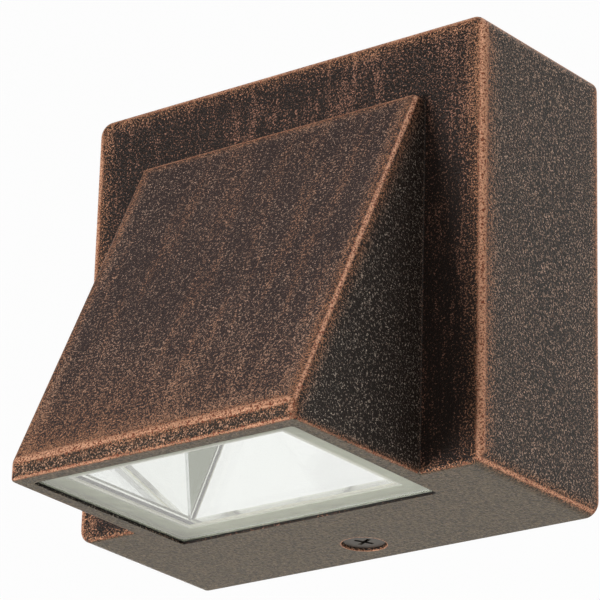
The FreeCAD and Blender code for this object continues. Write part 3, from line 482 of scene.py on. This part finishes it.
# %% [markdown]
# The more the cloth rubbed, the thicker and longer the worms: near the edges, in streaks down the
# box's front, in strokes down the slope and at its foot, and in the box's upper right corner.
# On the hood's flanks and on its lip they are thinner, and the underside, out of the cloth's
# reach, has hardly any. On the box's front to the right of the hood they are thinner towards the
# bottom: painted shade, for the hood's shadow there.

# %% Rubbing
rub_reach = 5.5
near_ridge = coat.ramp(abs(hood_side) + abs(hood_slope), 1.0, rub_reach, 1.0, 0.0) * on_hood_face
near_edge = most(coat.ramp(edge, 0.5, rub_reach, 1.0, 0.0), near_ridge)
rubbed = coat.ramp(streaks + patches * 0.5, 0.68, 0.98) * faces_front
wiped = coat.ramp(brush, 0.42, 0.66) * on_slope
slope_foot = coat.ramp(y, -60.0, -80.0) * on_slope * coat.ramp(x, -30.0, 40.0, 1.0, 0.6)
upper_corner = coat.ramp(x, 0.0, 45.0) * coat.ramp(z, 10.0, 40.0) * on_plate
# Painted shade: fewer worms low on the box's front right of the hood, for the hood's shadow.
painted_hood_shadow = coat.ramp(z, -30.0, 25.0, 1.0, 0.0) * on_plate * coat.ramp(x, -5.0, 5.0)
density = (near_edge * 0.9 + rubbed * 0.8 + wiped * 0.45 + slope_foot * 0.7 + upper_corner * 0.35
           + (patches - 0.5) * 0.4 + on_box_side * 0.16 - painted_hood_shadow * 0.3 - on_flank * 0.1
           - on_plate * 0.2 - on_slope * 0.1 - on_lip * 0.3)
print("coat: rubbed up to", rub_reach, "mm from the ridges, in streaks and in strokes")

# %% Speckles and bare copper
worm_width = 0.035 + density * 0.03
worms = coat.ramp(abs(lines - 0.5) - worm_width, -0.012, 0.018, 1.0, 0.0)
kept = coat.ramp(gaps + density * 0.14, 0.525, 0.575)
speckle = worms * kept * (1 - faces_down * 0.75)
ragged = edge + (grain - 0.5) * 2.0 + (patches - 0.5) * 1.0
bare = coat.ramp(ragged, 0.7, 1.2, 1.0, 0.0)
copper_share = most(speckle * 0.9, bare * 0.95) * (1 - inside)
print("coat: speckles, and bare copper with a ragged border along the edges")

# %% [markdown]
# The dark coat is painted lighter on the slope, the lip and the underside: painted light, for the
# light those faces catch on what is one coat; the underside's orange peel is the coat's own. A
# fine grey line runs up the crease between hood and box: a painted highlight. The copper is near
# to tan where it is fine, and ruddy where it is rubbed. The colours vary with the noises, because
# one even colour would look like paint.

# %% Dark coat
# Painted highlight: a fine grey line up the crease between hood and box.
crease = (coat.ramp(abs(box_front) + abs(hood_side), 0.12, 0.24, 1.0, 0.0)
          * coat.ramp(hood_top, 0.0, 2.0))
flat_dark = coat.mix(patches, srgb(32, 24, 20), srgb(46, 35, 30))
# Painted light: the slope, the underside and the lip get lighter copies of the one dark coat.
slope_painted_light = coat.mix(patches, srgb(56, 43, 41), srgb(68, 53, 50))
under_peel_and_painted_light = coat.mix(coat.ramp(peel, 0.35, 0.65), srgb(54, 44, 30), srgb(106, 91, 68))
lip_painted_light = srgb(58, 46, 37)
facing_dark_and_painted_light = coat.mix(faces_down, coat.mix(on_slope, flat_dark, slope_painted_light), under_peel_and_painted_light)
outer_dark_and_painted_light = coat.mix(crease * 0.3, coat.mix(on_lip, facing_dark_and_painted_light, lip_painted_light), srgb(120, 116, 112))
# Painted shade and dark paint: the window's recess is near black, for its dark walls and the shadow
# in the gap round the pane.
inner_dark, recess_paint_and_shade = srgb(44, 37, 34), srgb(14, 13, 12)
dark = coat.mix(in_window, coat.mix(inside, outer_dark_and_painted_light, inner_dark), recess_paint_and_shade)
print("coat: dark colours for the faces, the crease, the recess and the inside")

# %% Copper
tone = coat.ramp(grain, 0.34, 0.58)
ruddy = most(near_edge, most(slope_foot, wiped * 0.7))
tan_bright = coat.mix(on_flank, srgb(255, 218, 192), srgb(255, 240, 222))
tan_dull = coat.mix(on_flank, srgb(156, 118, 98), srgb(190, 164, 146))
bright_worm = coat.mix(ruddy, coat.mix(on_plate, tan_bright, srgb(206, 152, 128)),
                       srgb(224, 162, 122))
dull_worm = coat.mix(on_plate, coat.mix(ruddy, tan_dull, srgb(142, 94, 70)), srgb(112, 78, 62))
edge_copper = coat.mix(tone, srgb(139, 75, 52), srgb(250, 190, 153))
copper = coat.mix(bare, coat.mix(tone, dull_worm, bright_worm), edge_copper)
print("coat: copper of the speckles and of the bare edges")

# %% Relief, and the coat on the housing
relief = abs(lines - 0.5) * -1.6 + grain * 0.5 + peel * 1.3 - bare * 0.1
relief_depth = 0.16
antique_copper = coat.close(
    Base_Color=coat.mix(copper_share, dark, copper),
    Metallic=copper_share * 0.35,
    Roughness=0.42 + copper_share * 0.06,
    Specular_IOR_Level=0.25,
    Normal=coat.bump(relief, relief_depth))
dress("housing", antique_copper)
print("coat:", len(coat.tree.nodes), "nodes, relief", relief_depth, "mm deep")

# %% [markdown]
# ## Window pane
# A clear glass pane let into the underside. Plain glass would leave the space behind it dark,
# because a ray that only tests for shadow can't bend. So such rays, and those of soft light, pass
# straight through the pane, and all others are bent as in real glass.

# %% Pane
glass = Finish("clear glass")
bent = glass.node("ShaderNodeBsdfPrincipled", None, {
    "Base Color": (0.975, 0.985, 0.98, 1), "Roughness": 0.0, "IOR": 1.5,
    "Transmission Weight": 1.0}).outputs[0]
straight = glass.node("ShaderNodeBsdfTransparent", None, {"Color": (0.96, 0.975, 0.965, 1)})
passing = any_ray(glass, "Is Shadow Ray", "Is Diffuse Ray")
glass.output(glass.blend(passing, bent, straight.outputs[0]))
dress("window_glass", glass.material)

# %% [markdown]
# ## Gasket
# The pane lies on a ring of pale, slightly green silicone. It is matt and almost even in colour,
# so a cloudy noise between two near colours is enough.

# %% Gasket
silicone = Finish("pale silicone")
cloud = silicone.noise(3.0)
dress("glass_gasket", silicone.close(
    Base_Color=silicone.mix(cloud, srgb(212, 214, 190), srgb(226, 228, 206)),
    Roughness=0.55, Normal=silicone.bump(silicone.noise(0.5), 0.02)))

# %% [markdown]
# ## Reflector
# A funnel of polished metal with four facets and a narrow skirt at its foot. One mirror finish
# would do for the facets, but the skirt, its rolled edge and the bend above it mirror other
# things, and at this size their colours tell more than their shapes. So some of their colours are
# painted light: painted shade on the side skirts, a painted highlight on the rolled edge and a
# painted reflection, a grey band, on the bends at the sides. The finish goes by height and by
# distance from the middle: raw cut edge, skirt, rolled edge, bend and facet.

# %% Reflector
mirror = Finish("bright reflector")
across, _, height = mirror.axes()
cut_edge_z, rolled_edge_z, facets_z, bend_z, bend_top_z = -43.05, -42.29, -42.0, -41.915, -41.5
skirt_x, bend_x = 25.225, 24.95
lower_edge = 1 - mirror.past(height, cut_edge_z, 0.05)
rolled_edge_highlight = mirror.past(height, rolled_edge_z, 0.05)
on_facets = mirror.past(height, facets_z, 0.05)
shaded_side_skirt = mirror.past(abs(across), skirt_x, 0.075)
side_bend_reflection = (mirror.past(height, bend_z, 0.035) * (1 - mirror.past(height, bend_top_z, 0.05))
             * mirror.past(abs(across), bend_x, 0.1))
# Painted shade: the side skirts are near black.
skirt_metal_and_shade = mirror.mix(shaded_side_skirt, srgb(216, 216, 208), srgb(18, 20, 12))
# Painted highlight: the rolled edge is brighter than the skirt.
foot_metal_and_highlight = mirror.mix(rolled_edge_highlight, skirt_metal_and_shade, srgb(240, 240, 232))
# Painted reflection: the bends at the sides are a grey band.
facet_metal_and_reflection = mirror.mix(side_bend_reflection, srgb(250, 251, 249), srgb(120, 123, 108))
polished = mirror.mix(on_facets, foot_metal_and_highlight, facet_metal_and_reflection)
dress("reflector", mirror.close(
    Base_Color=mirror.mix(lower_edge, polished, srgb(226, 222, 200)),
    Metallic=1 - lower_edge,
    Roughness=0.06 - on_facets * 0.045 + lower_edge * 0.3,
    Normal=mirror.bump(mirror.noise(5.0, stretch=(1, 1, 3)), 0.012)))
print("reflector: skirt from", cut_edge_z, "to", facets_z, "mm, facets above")

# %% [markdown]
# ## Lock screw
# The countersunk screw that holds the light on its plate: dark bronze plating, a little brighter
# where a driver has rubbed it. One dark metal would look new, so a noise mixes two tones, and the
# brighter one is also rougher.

# %% Lock screw
bronze = Finish("dark bronze steel")
rub = bronze.noise(0.8, detail=3.0)
dress("lock_screw", bronze.close(
    Base_Color=bronze.mix(rub, srgb(52, 50, 48), srgb(92, 86, 80)),
    Metallic=0.85, Roughness=0.32 + rub * 0.2,
    Normal=bronze.bump(bronze.noise(0.35), 0.02)))

# %% [markdown]
# ## Pieces behind the cover
# Plated steel, rubber, moulded plastic, boards and insulated wire. Most of them are hidden until
# the light is taken off its plate, so one maker serves them all: a noise drifts between two near
# colours and also gives the relief, in each material's own size, gloss and depth.

# %% Plain finishes
def plain_finish(name, low, high, rough, size, depth, metallic=0.0, stretch=(1, 1, 1)):
    """A finish that drifts between two colours in blobs, with relief of the same blobs."""
    finish = Finish(name)
    drift = finish.noise(size, detail=3.0, stretch=stretch)
    return finish.close(Base_Color=finish.mix(drift, srgb(*low), srgb(*high)),
                        Metallic=metallic, Roughness=rough + drift * 0.12,
                        Normal=finish.bump(drift, depth))


zinc = plain_finish("bright zinc", (168, 172, 176), (206, 208, 210), 0.26, 1.4, 0.01, 1.0)
rubber = plain_finish("black rubber", (22, 22, 23), (38, 38, 38), 0.62, 0.6, 0.02)
moulded = plain_finish("white moulded plastic", (214, 213, 205), (228, 227, 220), 0.38, 0.5, 0.01)
yellow_metal = plain_finish("plain brass", (190, 150, 84), (214, 178, 112), 0.24, 0.9, 0.01, 1.0)
sheet = plain_finish("mill aluminium", (176, 178, 180), (204, 205, 206), 0.3, 0.7, 0.008, 1.0,
                     (12, 1, 1))
pad_grey = plain_finish("grey silicone pad", (104, 108, 110), (124, 127, 128), 0.7, 0.5, 0.02)
green_board = plain_finish("green circuit board", (14, 74, 40), (24, 96, 52), 0.3, 2.2, 0.004)
white_board = plain_finish("white circuit board", (226, 226, 222), (240, 240, 236), 0.35, 1.5, 0.003)
phosphor = plain_finish("yellow phosphor", (228, 196, 70), (240, 212, 96), 0.45, 0.3, 0.01)
ferrite = plain_finish("dark ferrite", (36, 37, 40), (58, 58, 60), 0.5, 0.5, 0.02)
sleeve = plain_finish("black shrink sleeve", (16, 16, 18), (28, 28, 31), 0.22, 2.0, 0.01)
dark_plastic = plain_finish("black moulded plastic", (18, 18, 18), (34, 34, 34), 0.42, 0.4, 0.015)
wire_brown = plain_finish("brown insulation", (78, 42, 22), (96, 54, 30), 0.38, 1.2, 0.01)
wire_blue = plain_finish("blue insulation", (24, 74, 150), (34, 92, 172), 0.38, 1.2, 0.01)
wire_red = plain_finish("red insulation", (160, 24, 20), (184, 34, 28), 0.38, 1.2, 0.01)
wire_black = plain_finish("black insulation", (20, 20, 20), (34, 34, 34), 0.38, 1.2, 0.01)

# %% [markdown]
# ## Earth wire
# The earth wire's cover is green with yellow stripes. They wind round it, so a stripe is drawn
# where a sloping coordinate, across and up the wire, is in one part of its turn.

# %% Earth wire
earth = Finish("green and yellow insulation")
earth_x, _, earth_z = earth.axes()
turns = earth_x * 0.8 + earth_z * 0.25
stripe = earth.ramp(abs(turns.math("FRACT") - 0.5), 0.12, 0.14)
wire_earth = earth.close(Base_Color=earth.mix(stripe, srgb(226, 206, 40), srgb(28, 122, 52)),
                         Roughness=0.38 + earth.noise(1.2) * 0.1)
print("earth wire:", wire_earth.name)

# %% Put the finishes on
finishes = {
    zinc: ["led_board_screws", "heat_sink_screws", "back_cover", "back_cover_screws",
           "terminal_fixing_screws", "driver_screws", "mounting_plate", "lock_nut"],
    rubber: ["back_cover_gasket", "wall_gasket", "wire_grommet", "screw_seal_ring"],
    moulded: ["terminal_block", "driver_case", "driver_lid"],
    yellow_metal: ["terminal_screws", "cover_earth_screw", "earth_washer", "earth_screw"],
    sheet: ["heat_sink_plate"], pad_grey: ["thermal_pad"], green_board: ["driver_board"],
    white_board: ["led_board"], phosphor: ["led_emitters"], ferrite: ["driver_transformer"],
    sleeve: ["driver_capacitors"], dark_plastic: ["driver_rectifier"],
    wire_brown: ["lead_live"], wire_blue: ["lead_neutral"], wire_earth: ["lead_earth"],
    wire_red: ["led_wire_red"], wire_black: ["led_wire_black"],
}
for material, names in finishes.items():
    for name in names:
        dress(name, material)

# %% [markdown]
# ## Reflector seams
# The reflector is folded from one sheet of polished metal, so its four corners are open bends
# that meet in a thin bright line. A rounded strip laid along each corner gives that line: a
# circle is carried from the foot of the corner up to the throat.

# %% Shells and rods
def closed_mesh(name, ring):
    """A shell over rings of points: quads from ring to ring, and a flat cap on either end."""
    rows, sides = ring.shape[:2]
    index = np.arange(rows * sides).reshape(rows, sides)
    after = np.roll(index, -1, axis=1)
    quads = np.stack([index[:-1], after[:-1], after[1:], index[1:]], axis=-1).reshape(-1, 4)
    thing = add_mesh(name, ring, quads.tolist() + [index[0][::-1].tolist(), index[-1].tolist()])
    thing.data.polygons.foreach_set("use_smooth", [True] * len(quads) + [False, False])
    return thing


def tube(name, path, radius, sides=12):
    """A round rod along a path: each row is the path's point plus radius times
    (cos a * first + sin a * second), with both directions square to the path there."""
    along = np.gradient(path, axis=0)
    along /= np.linalg.norm(along, axis=1, keepdims=True)
    aslant = np.broadcast_to(np.array([0.31, 0.87, 0.38]), along.shape)
    first = np.cross(along, aslant)
    first /= np.linalg.norm(first, axis=1, keepdims=True)
    second = np.cross(along, first)
    angle = np.linspace(0, 2 * np.pi, sides, endpoint=False)
    ring = (first[:, None] * np.cos(angle)[None, :, None]
            + second[:, None] * np.sin(angle)[None, :, None]) * radius + path[:, None]
    return closed_mesh(name, ring)


def add_piece(thing, body, material):
    """Gives a new piece its finish and the body it moves with."""
    thing.data.materials.append(material)
    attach(thing, body)
    print("added", thing.name, "with", len(thing.data.polygons), "faces")


# %% Reflector seams
foot = {"x": 25.35, "back": -34.05, "front": -70.3, "z": -42.0}
throat = {"x": 16.95, "back": -48.1, "front": -59.6, "z": -20.2}
seam_radius = 0.3
seam_metal = plain_finish("folded reflector seam", (206, 208, 206), (236, 238, 236), 0.12, 2.0, 0.004,
                          1.0)
for sign, hand in ((-1, "left"), (1, "right")):
    for end in ("back", "front"):
        low = np.array([sign * foot["x"], foot[end], foot["z"]])
        high = np.array([sign * throat["x"], throat[end], throat["z"]])
        steps = np.linspace(0, 1, 9)[:, None]
        strip = tube("reflector_seam_%s_%s" % (hand, end), (low + (high - low) * steps) * MM,
                     seam_radius * MM)
        add_piece(strip, "luminaire", seam_metal)

# %% [markdown]
# ## Light emitters
# Each emitter of the board is a white ceramic square with a low dome of silicone over its yellow
# phosphor. The solids have the square, so a dome goes on each: rings whose radius shrinks and
# whose height grows as the cosine and sine of one angle.

# %% Emitter domes
low, high = span("led_emitters")
half_square = (high[1] - low[1]) / 2
emitter_x = np.array([low[0] + half_square, 0.0, high[0] - half_square])
emitter_y = (low[1] + high[1]) / 2
print("emitters at x", emitter_x.round(2), "mm, y", round(float(emitter_y), 2), "mm")

dome_radius = half_square * 0.82
dome_height = 0.55
quarter_share = 0.96
angle = np.linspace(0, 2 * np.pi, 32, endpoint=False)
climb = np.linspace(0, np.pi / 2 * quarter_share, 9)[:, None]
for number, middle in enumerate(emitter_x, 1):
    radius = dome_radius * np.cos(climb)
    level = low[2] - dome_height * np.sin(climb)
    rings = np.stack([middle + radius * np.cos(-angle), emitter_y + radius * np.sin(-angle),
                      level + 0 * angle], axis=-1)
    add_piece(closed_mesh("emitter_dome_%d" % number, rings * MM), "luminaire",
              phosphor)
